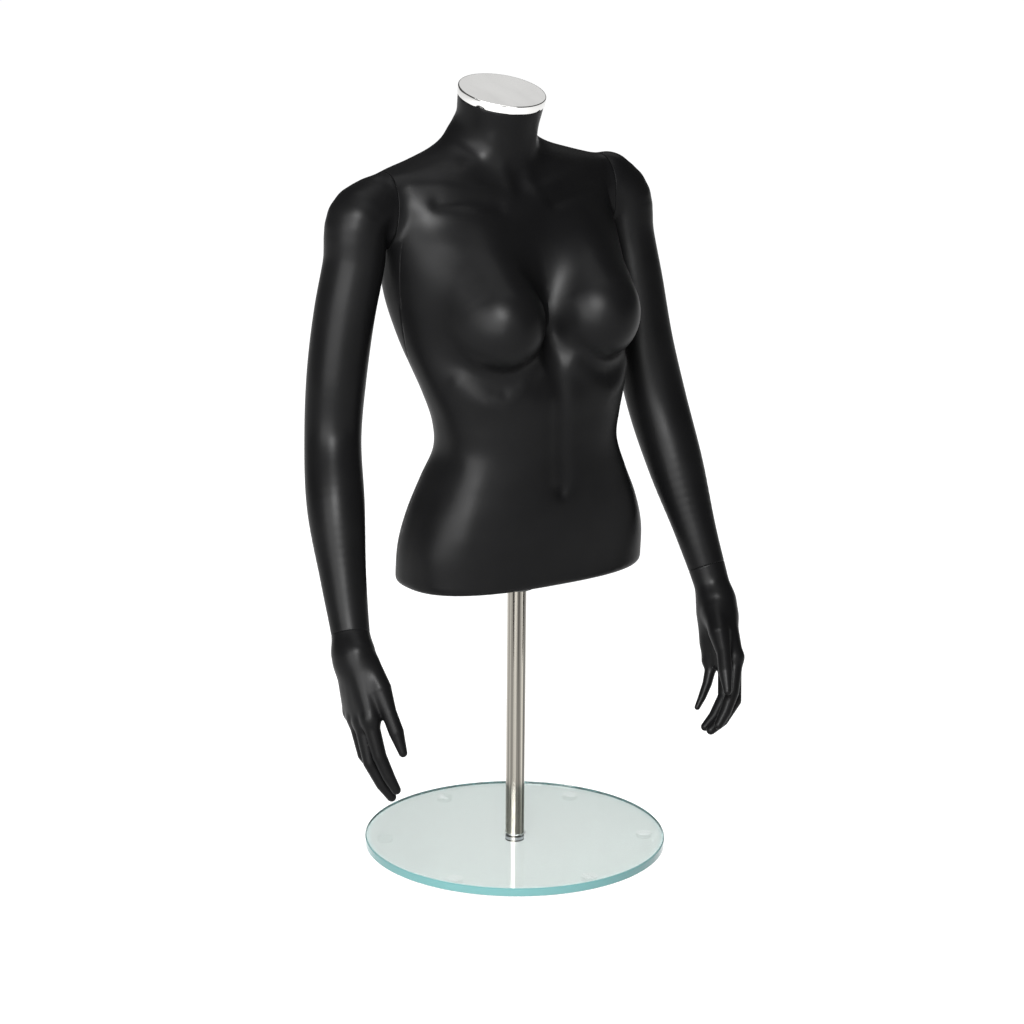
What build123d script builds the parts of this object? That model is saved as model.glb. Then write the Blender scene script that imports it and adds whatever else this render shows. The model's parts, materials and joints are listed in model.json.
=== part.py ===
from build123d import *
import os
from math import cos, sin, radians, pi

os.makedirs("parts", exist_ok=True)

# Dress form: a headless female torso with two loose arms and two loose hands,
# on a round post and a round glass base.  It faces -Y; its right side is -X.
# All lengths are in millimetres.  The origin is on the floor, on the post's axis.

# ---------------------------------------------------------------- glass base
glass_radius = 175.0
glass_thickness = 10.0
glass_bottom = 5.0
glass_top = glass_bottom + glass_thickness
glass_hole_radius = 8.0
edge_polish = 1.0
foot_pad_radius = 9.0
foot_pad_count = 6
foot_pad_ring = 152.0
centre_pad_radius = 11.0
centre_pad_height = 1.5

# ---------------------------------------------------------------- post fixings
bolt_radius = 5.0
bolt_head_radius = 9.0
bolt_head_height = 2.0
bolt_top = 40.0
bolt_clear = 0.2
bush_radius = 7.9
retaining_plate_radius = 11.0
gasket_radius = 13.0
gasket_height = 1.0

# ---------------------------------------------------------------- chrome post
post_radius = 11.0
post_wall = 1.2
post_bore = post_radius - post_wall
post_bottom = glass_top + gasket_height
post_top = 500.0
post_insert_length = 30.0
top_bush_length = 30.0
top_flange = 3.0
swivel_pin_radius = 6.0
running_gap = 0.05
swivel_head_radius = 10.8
swivel_head_height = 8.0
swivel_head_bottom = post_top + top_flange + 0.1

# ---------------------------------------------------------------- socket in the torso
socket_bore = 11.1
socket_outer = 13.0
collar_radius = 19.0
collar_bottom = 314.0
collar_top = 334.0
flange_radius = 40.0
flange_height = 3.0
bottom_plate_low = 338.0
bottom_plate_high = 346.0
socket_top = swivel_head_bottom + swivel_head_height + 9.0
end_stop_bottom = swivel_head_bottom + swivel_head_height + 0.05
lock_screw_radius = 3.0
lock_screw_height = 324.0
lock_knob_radius = 8.0

# ---------------------------------------------------------------- torso shell
torso_wall = 4.0
side_seam_y = 20.0
neck_tilt = 15.7
cap_radius = 49.6
cap_height = 9.5
cap_top_centre = Vector(0, 38, 879)
# height, middle y, half width, half depth, squareness, backward sweep at the sides, tilt
trunk_sections = [
    (336.0, -4.5, 146.0, 76.0, 2.5, 0.0, 0.0),
    (346.0, -5.0, 152.0, 81.5, 2.5, 0.0, 0.0),
    (382.0, -7.0, 150.5, 82.0, 2.5, 0.0, 0.0),
    (420.0, -9.0, 139.5, 81.0, 2.4, 0.0, 0.0),
    (455.0, -10.0, 123.0, 78.0, 2.35, 0.0, 0.0),
    (488.0, -14.0, 110.5, 72.0, 2.3, 0.0, 0.0),
    (520.0, -16.0, 114.5, 69.0, 2.3, 0.0, 0.0),
    (555.0, -10.0, 124.5, 73.0, 2.3, 0.0, 0.0),
    (590.0, -1.0, 134.0, 80.0, 2.4, 0.0, 0.0),
    (625.0, 9.0, 141.0, 88.0, 2.5, 0.0, 0.0),
    (655.0, 19.0, 145.5, 90.0, 2.5, 2.0, 0.0),
    (690.0, 26.0, 157.0, 80.0, 2.4, 10.0, 0.0),
    (720.0, 33.0, 168.0, 70.0, 2.3, 14.0, 0.0),
    (748.0, 41.0, 168.0, 60.0, 2.2, 12.0, 0.0),
    (770.0, 47.0, 165.0, 53.0, 2.1, 7.0, 0.0),
    (788.0, 51.0, 154.0, 50.0, 2.0, 3.0, 0.0),
    (803.0, 54.0, 116.0, 48.5, 2.0, 0.0, 2.0),
    (820.0, 54.0, 70.0, 48.0, 2.0, 0.0, 7.0),
    (842.0, 49.0, 51.5, 47.5, 2.0, 0.0, 12.0),
]
bust_centre = (68.0, -42.0, 642.0)
bust_radii = (54.0, 73.0, 60.0)
fitting_gap = 0.2

# ---------------------------------------------------------------- shoulder joints
shoulder_seam_x = 146.0
shoulder_seam_z = 742.0
shoulder_seam_y = 54.0
seam_gap = 0.3
hub_radius = 14.0
hub_flange_radius = 20.0
retainer_radius = 27.0
peg_half = 7.0

# ---------------------------------------------------------------- arms and hands
arm_wall = 3.0
deltoid_centre = (164.0, 52.0, 737.0)
deltoid_radii = (41.0, 38.0, 50.0)
# distance share from shoulder (0) to elbow (1) to wrist (2), and the arm's radius there
arm_radii = [
    (0.04, 33.0), (0.22, 35.0), (0.42, 33.8), (0.75, 33.3), (1.0, 33.0),
    (1.33, 32.0), (1.5, 29.0), (1.68, 24.7), (1.85, 21.3), (1.97, 20.4),
]
finger_bones = {
    "index": ((72, 22, -3), (42, 25, 17)),
    "middle": ((75, 6, -5), (45, 28, 18)),
    "ring": ((71, -9, -4), (41, 26, 17)),
    "little": ((64, -23, -1), (32, 19, 15)),
}
finger_radii = (9.3, 7.8, 6.8, 5.4)
thumb_points = ((18, 14, 8), (55, 33, 11), (87, 39, 15), (113, 42, 19))
thumb_radii = (13.0, 9.6, 7.8, 5.6)

SIDES = {
    "right": dict(
        sign=-1, seam_tilt=6.0,
        shoulder=Vector(-173, 50, 752), middle=Vector(-197, 48, 650),
        elbow=Vector(-217, 44, 510), wrist=Vector(-255, -58, 306),
        seam_back=10.0,
        palm_start=Vector(-258.8, -68.9, 297.9),
        down=Vector(-0.017, -0.285, -0.958), palmar=Vector(1.0, -0.023, -0.011),
        curls={"index": (8, 10, 6), "middle": (4, 19, 8),
               "ring": (6, 26, 12), "little": (14, 26, 12)},
    ),
    "left": dict(
        sign=1, seam_tilt=1.0,
        shoulder=Vector(164, 50, 757), middle=Vector(181, 33, 650),
        elbow=Vector(192, 0, 512), wrist=Vector(209, -101, 294),
        seam_back=38.0,
        palm_start=Vector(209.1, -103.2, 290.8),
        down=Vector(-0.098, -0.483, -0.870), palmar=Vector(-0.936, 0.341, -0.084),
        curls={"index": (17, 14, 8), "middle": (10, 33, 16),
               "ring": (14, 29, 16), "little": (23, 26, 12)},
    ),
}


def save(shape, name):
    shape.label = name
    export_step(shape, "parts/" + name + ".step")


def disc(radius, low, high, hole=0.0, at=(0, 0)):
    """An upright disc or ring between two heights."""
    ring = Pos(at[0], at[1], (low + high) / 2) * Cylinder(radius, high - low)
    if hole:
        ring -= Pos(at[0], at[1], (low + high) / 2) * Cylinder(hole, high - low + 2)
    return ring


def rod(plane, radius, low, high, hole=0.0, at=(0, 0)):
    """A disc or ring along a plane's own axis."""
    return plane * disc(radius, low, high, hole, at)


def square_bar(plane, half, low, high):
    return plane * (Pos(0, 0, (low + high) / 2) * Box(2 * half, 2 * half, high - low))


def ellipsoid(centre, radii):
    return Pos(*centre) * scale(Sphere(1), by=tuple(radii))


# ---------------------------------------------------------------- the base
def build_base():
    glass = disc(glass_radius, glass_bottom, glass_top)
    rims = glass.edges().filter_by(GeomType.CIRCLE)
    glass = chamfer(rims, edge_polish)
    glass -= disc(glass_hole_radius, 0, 30)
    save(glass, "glass_base")
    pads = [
        disc(foot_pad_radius, 0, glass_bottom,
             at=(foot_pad_ring * cos(radians(30 + 360 * k / foot_pad_count)),
                 foot_pad_ring * sin(radians(30 + 360 * k / foot_pad_count))))
        for k in range(foot_pad_count)
    ]
    save(Compound(children=pads), "foot_pads")
    save(disc(centre_pad_radius, 0, centre_pad_height), "centre_pad")
    plate = disc(retaining_plate_radius, centre_pad_height, glass_bottom,
                 hole=bolt_radius + bolt_clear)
    plate -= disc(bolt_head_radius + bolt_clear, centre_pad_height,
                  centre_pad_height + bolt_head_height)
    save(plate, "retaining_plate")
    bolt = disc(bolt_head_radius, centre_pad_height, centre_pad_height + bolt_head_height)
    bolt += disc(bolt_radius, centre_pad_height, bolt_top)
    save(bolt, "base_bolt")
    save(disc(bush_radius, glass_bottom, glass_top, hole=bolt_radius + bolt_clear), "hole_bush")
    save(disc(gasket_radius, glass_top, post_bottom, hole=bolt_radius + bolt_clear), "post_gasket")


def build_post():
    save(disc(post_radius, post_bottom, post_top, hole=post_bore), "post")
    insert = disc(post_bore, post_bottom, post_bottom + post_insert_length)
    insert -= disc(bolt_radius, post_bottom - 1, bolt_top)
    save(insert, "post_insert")
    bush = disc(post_bore, post_top - top_bush_length, post_top)
    bush += disc(post_radius, post_top, post_top + top_flange)
    bush -= disc(swivel_pin_radius + running_gap, post_top - top_bush_length - 1,
                 post_top + top_flange + 1)
    save(bush, "post_top_bush")
    swivel = disc(swivel_pin_radius, post_top - top_bush_length + 2, swivel_head_bottom)
    swivel += disc(swivel_head_radius, swivel_head_bottom,
                   swivel_head_bottom + swivel_head_height)
    save(swivel, "swivel_cap")


# ---------------------------------------------------------------- the socket
def build_socket():
    collar = disc(collar_radius, collar_bottom, collar_top, hole=socket_bore)
    cross = Plane(origin=(0, 0, lock_screw_height), x_dir=(1, 0, 0), z_dir=(0, 1, 0))
    collar -= rod(cross, lock_screw_radius + running_gap, 0, 40)
    flange = disc(flange_radius, bottom_plate_low - flange_height - 1, bottom_plate_low,
                  hole=socket_bore)
    collar = collar + flange
    screw_spots = [(30 * cos(radians(a)), 30 * sin(radians(a))) for a in (45, 135, 225, 315)]
    board = Pos(0, 0, (bottom_plate_low + bottom_plate_high) / 2) * Box(
        320, 220, bottom_plate_high - bottom_plate_low)
    plate = board & trunk_solid(torso_wall + fitting_gap)
    plate -= disc(socket_outer, 0, 400)
    screws = []
    for spot in screw_spots:
        screws.append(disc(2.0, bottom_plate_low - 6.0, bottom_plate_high - 1, at=spot)
                      + disc(3.8, bottom_plate_low - 6.0, bottom_plate_low - 4.0, at=spot))
        collar -= disc(2.0, 300, 345, at=spot)
        plate -= disc(2.0, 300, bottom_plate_high - 1, at=spot)
    save(collar, "socket_collar")
    save(plate, "bottom_plate")
    save(Compound(children=screws), "socket_screws")
    save(disc(socket_outer, bottom_plate_low, socket_top, hole=socket_bore), "socket_tube")
    save(disc(socket_bore, end_stop_bottom, socket_top), "socket_end_stop")
    knob = rod(cross, lock_screw_radius, post_radius + 0.4, 32)
    knob += rod(cross, lock_knob_radius, 31, 41)
    save(knob, "lock_screw")


# ---------------------------------------------------------------- the torso
def trunk_wire(section, inset):
    height, middle, width, depth, power, sweep, tilt = section
    points = []
    for k in range(20):
        turn = 2 * pi * (k + 0.5) / 20
        across = abs(cos(turn)) ** (2 / power) * (1 if cos(turn) > 0 else -1)
        along = abs(sin(turn)) ** (2 / power) * (1 if sin(turn) > 0 else -1)
        x = (width - inset) * across
        y = (depth - inset) * along + sweep * across ** 2
        points.append((x, y))
    plane = Plane(origin=(0, middle, height), x_dir=(1, 0, 0),
                  z_dir=(0, -sin(radians(tilt)), cos(radians(tilt))))
    return plane * Face(Wire([Spline(*points, periodic=True)]))


def neck_plane():
    tilt = radians(neck_tilt)
    up = Vector(0, -sin(tilt), cos(tilt))
    return Plane(origin=cap_top_centre - up * cap_height, x_dir=(1, 0, 0), z_dir=up)


def bust_solid(sign, inset):
    centre = (sign * bust_centre[0], bust_centre[1], bust_centre[2])
    return ellipsoid(centre, [radius - inset for radius in bust_radii])


def trunk_solid(inset):
    faces = [trunk_wire(section, inset) for section in trunk_sections]
    ring = [((cap_radius - 0.6 - inset) * cos(2 * pi * (k + 0.5) / 20),
             (cap_radius - 0.6 - inset) * sin(2 * pi * (k + 0.5) / 20)) for k in range(20)]
    faces.append(neck_plane() * Face(Wire([Spline(*ring, periodic=True)])))
    return loft(faces)


def shoulder_plane(side):
    """Local frame of a shoulder joint: its axis points out of the torso."""
    sign = SIDES[side]["sign"]
    tilt = radians(SIDES[side]["seam_tilt"])
    out = Vector(sign * cos(tilt), 0, sin(tilt))
    return Plane(origin=(sign * shoulder_seam_x, shoulder_seam_y, shoulder_seam_z),
                 x_dir=(0, 1, 0), z_dir=out)


def slab(plane, low, high, size=400.0):
    return plane * (Pos(0, 0, (low + high) / 2) * Box(size, size, high - low))


def build_torso():
    outer = trunk_solid(0.0) + bust_solid(-1, 0.0) + bust_solid(1, 0.0)
    shell = outer - trunk_solid(torso_wall)
    shell = shell - bust_solid(-1, torso_wall) - bust_solid(1, torso_wall)
    inner = trunk_solid(torso_wall + fitting_gap)
    for side in SIDES:
        shell -= slab(shoulder_plane(side), -seam_gap, 100)
    front = shell & (Pos(0, side_seam_y - 200, 600) * Box(500, 400, 700))
    rear = shell & (Pos(0, side_seam_y + 200, 600) * Box(500, 400, 700))
    save(front, "torso_front_shell")
    save(rear, "torso_rear_shell")
    neck = neck_plane()
    insert = inner & slab(neck, -9.0, -1.0, 140.0)
    insert -= rod(neck, 10.05, -30, 10)
    save(insert, "neck_insert")
    ring = rod(neck, 15.0, -12.0, -9.0, hole=10.4)
    save(ring, "neck_magnet")
    save(rod(neck, cap_radius, 0.1, cap_height), "neck_cap")
    spigot = rod(neck, 10.0, -16.0, 0.1) - rod(neck, 2.1, -20, 5)
    save(spigot, "cap_spigot")
    return inner


def build_shoulder(side, inner):
    plane = shoulder_plane(side)
    plate = inner & slab(plane, -5.0, -1.0, 140.0)
    plate -= rod(plane, hub_radius + running_gap, -10, 10)
    spots = [(23.8 * cos(radians(a)), 23.8 * sin(radians(a))) for a in (30, 150, 270)]
    retainer = rod(plane, retainer_radius, -12.0, -5.0, hole=hub_radius + running_gap)
    retainer -= rod(plane, hub_flange_radius + 0.2, -9.2, -5.0)
    screws = []
    for spot in spots:
        plate -= rod(plane, 1.5, -20, 5, at=spot)
        retainer -= rod(plane, 1.5, -20, 5, at=spot)
        plate -= rod(plane, 3.0, -2.5, 5, at=spot)
        screws.append(rod(plane, 1.5, -11.5, -1.0, at=spot)
                      + rod(plane, 3.0, -2.5, -1.0, at=spot))
    save(plate, side + "_shoulder_plate")
    save(retainer, side + "_shoulder_retainer")
    save(Compound(children=screws), side + "_shoulder_screws")
    hub = rod(plane, hub_radius, -28.0, -0.5)
    hub += rod(plane, hub_flange_radius, -9.1, -5.1)
    hub -= square_bar(plane, peg_half + 0.1, -40, 5)
    save(hub, side + "_shoulder_hub")


# ---------------------------------------------------------------- arms
def arm_point(side, share):
    """A point on the arm's centre line; 0 shoulder, 1 elbow, 2 wrist."""
    part = SIDES[side]
    if share < 0.42:
        return part["shoulder"] + (part["middle"] - part["shoulder"]) * (share / 0.42)
    if share < 1.0:
        return part["middle"] + (part["elbow"] - part["middle"]) * ((share - 0.42) / 0.58)
    return part["elbow"] + (part["wrist"] - part["elbow"]) * (share - 1.0)


def arm_direction(side, share):
    return (arm_point(side, share + 0.12) - arm_point(side, share - 0.12)).normalized()


def forearm_axis(side):
    part = SIDES[side]
    return (part["wrist"] - part["elbow"]).normalized()


def wrist_plane(side):
    """Local frame of a wrist joint: its axis points towards the hand."""
    part = SIDES[side]
    axis = forearm_axis(side)
    return Plane(origin=part["wrist"] - axis * part["seam_back"], x_dir=(1, 0, 0), z_dir=axis)


def arm_solid(side, inset):
    part = SIDES[side]
    faces = []
    for share, radius in arm_radii:
        plane = Plane(origin=arm_point(side, share), x_dir=(0, 1, 0),
                      z_dir=arm_direction(side, share))
        faces.append(plane * Circle(radius - inset))
    end = Plane(origin=part["wrist"] + forearm_axis(side) * 20, x_dir=(0, 1, 0),
                z_dir=forearm_axis(side))
    faces.append(end * Circle(20.4 - inset))
    solid = loft(faces)
    centre = (part["sign"] * deltoid_centre[0], deltoid_centre[1], deltoid_centre[2])
    solid += ellipsoid(centre, [radius - inset for radius in deltoid_radii])
    return solid


def build_arm(side):
    outer = arm_solid(side, 0.0)
    wrist = wrist_plane(side)
    shell = outer - arm_solid(side, arm_wall)
    inner = arm_solid(side, arm_wall + fitting_gap)
    shell -= slab(shoulder_plane(side), -100, seam_gap, 900.0)
    shell -= slab(wrist, -seam_gap, 80, 120.0)
    save(shell, side + "_arm_shell")
    plane = shoulder_plane(side)
    plate = inner & slab(plane, 1.0, 5.0, 110.0)
    plate -= square_bar(plane, peg_half, -5, 20)
    spots = [(15 * cos(radians(a)), 15 * sin(radians(a))) for a in (30, 150, 270)]
    flange = rod(plane, 20.0, 5.0, 8.0)
    peg = square_bar(plane, peg_half, -26, 5.0) + flange
    screws = []
    for spot in spots:
        plate -= rod(plane, 1.5, 0, 20, at=spot)
        peg -= rod(plane, 1.5, 0, 20, at=spot)
        screws.append(rod(plane, 1.5, 1.5, 8.0, at=spot) + rod(plane, 3.0, 8.0, 9.5, at=spot))
    save(plate, side + "_arm_plate")
    save(peg, side + "_arm_peg")
    save(Compound(children=screws), side + "_arm_screws")
    socket = inner & slab(wrist, -24.0, -1.0, 120.0)
    socket -= rod(wrist, 8.0 + running_gap, -40, 10)
    save(socket, side + "_wrist_socket")
    hub = rod(wrist, 8.0, -28.0, -0.6) + rod(wrist, 10.5, -27.0, -24.1)
    hub -= square_bar(wrist, 4.1, -40, 10)
    save(hub, side + "_wrist_hub")


# ---------------------------------------------------------------- hands
def hand_axes(side):
    part = SIDES[side]
    down = part["down"].normalized()
    palmar = part["palmar"].normalized()
    radial = down.cross(palmar).normalized()
    if part["sign"] > 0:
        radial = radial * -1
    return down, radial, palmar


def hand_point(side, spot):
    down, radial, palmar = hand_axes(side)
    return SIDES[side]["palm_start"] + down * spot[0] + radial * spot[1] + palmar * spot[2]


def finger_points(side, finger):
    down, radial, palmar = hand_axes(side)
    knuckle, bones = finger_bones[finger]
    points = [hand_point(side, knuckle)]
    bend = 0.0
    for length, curl in zip(bones, SIDES[side]["curls"][finger]):
        bend += radians(curl)
        points.append(points[-1] + down * (length * cos(bend)) + palmar * (length * sin(bend)))
    return points


def tapered_chain(points, radii):
    chain = None
    for k in range(len(points) - 1):
        reach = points[k + 1] - points[k]
        plane = Plane(origin=points[k], z_dir=reach.normalized())
        bone = plane * Cone(radii[k], radii[k + 1], reach.length,
                            align=(Align.CENTER, Align.CENTER, Align.MIN))
        chain = bone if chain is None else chain + bone
    for point, radius in zip(points, radii):
        chain += Pos(*point) * Sphere(radius * 1.02)
    return chain


def palm_solid(side):
    down, radial, palmar = hand_axes(side)
    wrist = wrist_plane(side)
    # distance from the wrist, sideways shift, half width, half thickness
    stations = [(2, 0, 21.0, 18.5), (26, 3, 28.0, 17.0), (52, 3, 34.0, 15.0),
                (72, 0, 34.0, 12.5), (84, -1, 31.0, 9.5)]
    axis = forearm_axis(side)
    start = Plane(origin=wrist.origin + axis * seam_gap, x_dir=radial, z_dir=axis)
    faces = [start * Ellipse(20.8, 20.4)]
    for reach, shift, width, thickness in stations:
        plane = Plane(origin=hand_point(side, (reach, shift, 0)), x_dir=radial, z_dir=down)
        faces.append(plane * Ellipse(width, thickness))
    return loft(faces)


def build_hand(side):
    hand = palm_solid(side)
    for finger in finger_bones:
        hand += tapered_chain(finger_points(side, finger), finger_radii)
    hand += tapered_chain([hand_point(side, spot) for spot in thumb_points], thumb_radii)
    wrist = wrist_plane(side)
    hand -= square_bar(wrist, 4.0, -5, 12)
    save(hand, side + "_hand")
    save(square_bar(wrist, 4.0, -20, 12), side + "_wrist_peg")


build_base()
build_post()
build_socket()
torso_inner = build_torso()
for side_name in SIDES:
    build_shoulder(side_name, torso_inner)
    build_arm(side_name)
    build_hand(side_name)
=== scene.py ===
import bmesh
import bpy
import json
import numpy as np
from itertools import product
from math import cos, pi, radians, sin
from mathutils import Euler, Matrix, Vector


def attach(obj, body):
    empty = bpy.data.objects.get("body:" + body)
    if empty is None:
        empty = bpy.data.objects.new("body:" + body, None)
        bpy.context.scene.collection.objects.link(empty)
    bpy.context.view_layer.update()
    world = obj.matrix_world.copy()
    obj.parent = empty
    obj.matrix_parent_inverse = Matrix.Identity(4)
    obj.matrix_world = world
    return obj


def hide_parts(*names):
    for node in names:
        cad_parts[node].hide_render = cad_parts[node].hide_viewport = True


# A headless display torso with two loose arms and hands, on a chrome post and a glass base.
# Shapes are worked out in millimetres in the model's own frame, then scaled to metres.
# The figure faces -Y; its right side is -X.
MM = 0.001

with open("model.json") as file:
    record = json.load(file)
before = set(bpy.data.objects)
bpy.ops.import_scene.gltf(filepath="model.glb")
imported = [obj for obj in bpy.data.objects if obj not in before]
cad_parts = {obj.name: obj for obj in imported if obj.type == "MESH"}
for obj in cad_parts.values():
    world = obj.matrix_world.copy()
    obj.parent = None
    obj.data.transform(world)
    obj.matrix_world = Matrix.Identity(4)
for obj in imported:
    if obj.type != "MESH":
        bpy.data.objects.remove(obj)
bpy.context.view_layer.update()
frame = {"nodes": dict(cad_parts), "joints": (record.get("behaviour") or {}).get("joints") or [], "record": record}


# ================================================================ sculpting tools
# A field gives each point p its signed distance to a surface, less than 0 inside it.
def unit(vector):
    vector = np.asarray(vector, float)
    return vector / np.linalg.norm(vector)


def smooth_table(table, at):
    """Values of a smooth curve through rows of (key, values...)."""
    table = np.asarray(table, float)
    keys, values = table[:, 0], table[:, 1:]
    at = np.clip(np.asarray(at, float), keys[0], keys[-1])
    slope = np.gradient(values, keys, axis=0)
    row = np.clip(np.searchsorted(keys, at, side="right") - 1, 0, len(keys) - 2)
    span = (keys[row + 1] - keys[row])[..., None]
    t = (at - keys[row])[..., None] / span
    start = (2 * t**3 - 3 * t**2 + 1) * values[row] + (t**3 - 2 * t**2 + t) * span * slope[row]
    end = (3 * t**2 - 2 * t**3) * values[row + 1] + (t**3 - t**2) * span * slope[row + 1]
    return start + end


def join(a, b, blend):
    """Smooth union of two fields."""
    share = np.clip(0.5 + 0.5 * (b - a) / blend, 0, 1)
    return b + (a - b) * share - blend * share * (1 - share)


def meet(a, b, blend):
    """Smooth intersection of two fields."""
    return -join(-a, -b, blend)


def along_segment(p, start, end):
    """Distance to a segment, and the share of the way along it."""
    start, end = np.asarray(start, float), np.asarray(end, float)
    run = end - start
    share = np.clip(((p - start) @ run) / (run @ run), 0, 1)
    return np.linalg.norm(p - start - share[..., None] * run, axis=-1), share


def bone(p, start, end, start_radius, end_radius):
    """A tapered rod with round ends."""
    distance, share = along_segment(p, start, end)
    return distance - (start_radius + (end_radius - start_radius) * share)


def chain(p, points, radii):
    """Bones from point to point."""
    parts = [bone(p, points[k], points[k + 1], radii[k], radii[k + 1]) for k in range(len(points) - 1)]
    return np.min(parts, axis=0)


def ridge(p, points, height, width):
    """How far the skin rises along a line: a soft ridge, or a hollow where height is below 0."""
    nearest = None
    for k in range(len(points) - 1):
        distance, _ = along_segment(p, points[k], points[k + 1])
        nearest = distance if nearest is None else np.minimum(nearest, distance)
    return height * np.exp(-(nearest / width) ** 2)


def both_sides(points):
    """The same line on the right and on the left."""
    return [[(side * x, y, z) for x, y, z in points] for side in (-1, 1)]


# ================================================================ turning a field into a mesh
BLOCK = 8
POINTS_AT_ONCE = 200000


def sample(field, low, step, count):
    """The field on a grid. A block that the surface doesn't come near gets its middle's value throughout."""
    values = np.empty(count)
    starts = [np.arange(0, n, BLOCK) for n in count]
    corner = np.stack(np.meshgrid(*starts, indexing="ij"), -1).reshape(-1, 3)
    middle = field(low + step * (corner + (BLOCK - 1) / 2))
    near = np.abs(middle) < 1.5 * step * BLOCK
    for (i, j, k), value in zip(corner[~near], middle[~near]):
        values[i:i + BLOCK, j:j + BLOCK, k:k + BLOCK] = value
    offsets = np.stack(np.meshgrid(*[np.arange(BLOCK)] * 3, indexing="ij"), -1).reshape(-1, 3)
    spots = (corner[near][:, None] + offsets[None]).reshape(-1, 3)
    spots = spots[(spots < count).all(1)]
    for part in np.array_split(spots, max(1, len(spots) // POINTS_AT_ONCE)):
        values[tuple(part.T)] = field(low + step * part)
    return values


def crossings(values, low, step):
    """One vertex in each cell that the surface passes through, at the mean of its edge crossings."""
    solid = values < 0
    corners = [(i, j, k) for i in (0, 1) for j in (0, 1) for k in (0, 1)]
    size = np.array(values.shape) - 1
    filled = np.zeros(size, np.int8)
    for i, j, k in corners:
        filled += solid[i:size[0] + i, j:size[1] + j, k:size[2] + k]
    cells = np.argwhere((filled > 0) & (filled < 8))
    index = -np.ones(size, int)
    index[tuple(cells.T)] = np.arange(len(cells))
    total = np.zeros((len(cells), 3))
    hits = np.zeros(len(cells))
    for corner in corners:
        for axis in range(3):
            if corner[axis]:
                continue
            other = list(corner)
            other[axis] = 1
            a = values[tuple((cells + corner).T)]
            b = values[tuple((cells + other).T)]
            crossed = (a < 0) != (b < 0)
            spot = np.tile(np.array(corner, float), (len(cells), 1))
            spot[:, axis] += np.where(crossed, a / np.where(crossed, a - b, 1), 0)
            total[crossed] += spot[crossed]
            hits[crossed] += 1
    return low + step * (cells + total / hits[:, None]), index


def faces_between(values, index):
    """One four-sided face for each grid edge that crosses the surface."""
    solid = values < 0
    faces = []
    for axis in range(3):
        u, v = (axis + 1) % 3, (axis + 2) % 3
        near = [slice(None)] * 3
        far = [slice(None)] * 3
        near[axis], far[axis] = slice(0, -1), slice(1, None)
        edges = np.argwhere(solid[tuple(near)] != solid[tuple(far)])
        limit = np.array(values.shape) - 1
        inside = (edges[:, u] > 0) & (edges[:, v] > 0) & (edges[:, u] < limit[u]) & (edges[:, v] < limit[v])
        edges = edges[inside]
        ring = []
        for du, dv in ((-1, -1), (0, -1), (0, 0), (-1, 0)):
            cell = edges.copy()
            cell[:, u] += du
            cell[:, v] += dv
            ring.append(index[tuple(cell.T)])
        face = np.stack(ring, 1)
        outward = ~solid[tuple(edges.T)]
        face[outward] = face[outward][:, ::-1]
        faces.append(face)
    return np.concatenate(faces)


NUDGE = 0.2
FLATTEST_SLOPE = 0.2
FARTHEST_MOVE = 3


def settle(field, points, rounds):
    """Moves points onto the surface."""
    for _ in range(rounds):
        value = field(points)
        slope = np.stack([(field(points + NUDGE * axis) - value) / NUDGE for axis in np.eye(3)], -1)
        steep = np.maximum((slope ** 2).sum(-1), FLATTEST_SLOPE ** 2)
        move = np.clip(value / steep, -FARTHEST_MOVE, FARTHEST_MOVE)
        points = points - move[:, None] * slope
    return points


def even_out(points, faces):
    """Moves each point half way to the middle of its neighbours."""
    total = np.zeros_like(points)
    count = np.zeros(len(points))
    for a, b in ((0, 1), (1, 2), (2, 3), (3, 0)):
        for here, there in ((a, b), (b, a)):
            np.add.at(total, faces[:, here], points[faces[:, there]])
            np.add.at(count, faces[:, here], 1)
    return points + 0.5 * (total / count[:, None] - points)


def sculpt(field, low, high, step):
    """The field's surface inside a box, as points and four-sided faces."""
    low, high = np.asarray(low, float), np.asarray(high, float)
    count = np.ceil((high - low) / step).astype(int) + 1
    values = sample(field, low, step, count)
    points, index = crossings(values, low, step)
    faces = faces_between(values, index)
    points = settle(field, even_out(points, faces), rounds=1)
    points = settle(field, even_out(points, faces), rounds=2)
    return points, faces


# ================================================================ the torso's shape
HEM_HEIGHT = 336.0
HEM_ROUNDING = 9.0
# height, half width, front y, back y, squareness, backward sweep at the sides
TRUNK = [
    (320, 152.5, -85.0, 77.5, 2.5, 0),
    (345, 152.5, -86.0, 77.0, 2.5, 0),
    (382, 150.5, -89.0, 75.0, 2.5, 0),
    (420, 139.8, -90.0, 72.5, 2.4, 0),
    (455, 123.5, -88.0, 68.0, 2.35, 0),
    (488, 110.5, -86.0, 58.5, 2.3, 0),
    (520, 114.5, -85.5, 53.0, 2.3, 0),
    (555, 124.5, -84.0, 62.5, 2.3, 0),
    (580, 131.5, -74.5, 74.0, 2.3, 0),
    (602, 137.0, -64.0, 85.0, 2.35, 0),
    (625, 141.0, -57.0, 95.0, 2.4, 2),
    (658, 145.0, -50.0, 104.5, 2.5, 6),
    (700, 145.0, -40.0, 104.0, 2.6, 12),
    (722, 144.5, -33.0, 102.5, 2.5, 14),
    (742, 147.5, -22.0, 101.0, 2.3, 15),
    (765, 157.0, -8.0, 101.0, 2.2, 10),
    (786, 159.0, 6.0, 101.0, 2.0, 5),
    (795, 142.0, 12.0, 102.0, 2.0, 2),
    (804, 110.0, 18.0, 103.0, 2.0, 0),
    (813, 80.0, 24.0, 104.0, 2.0, 0),
    (823, 60.0, 30.0, 102.0, 2.0, 0),
    (842, 42.0, 32.0, 98.0, 2.0, 0),
]
TRUNK_TOP = 842.0
TRUNK_TOP_ROUNDING = 14
SWEEP_LIMIT = 1.3
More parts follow.
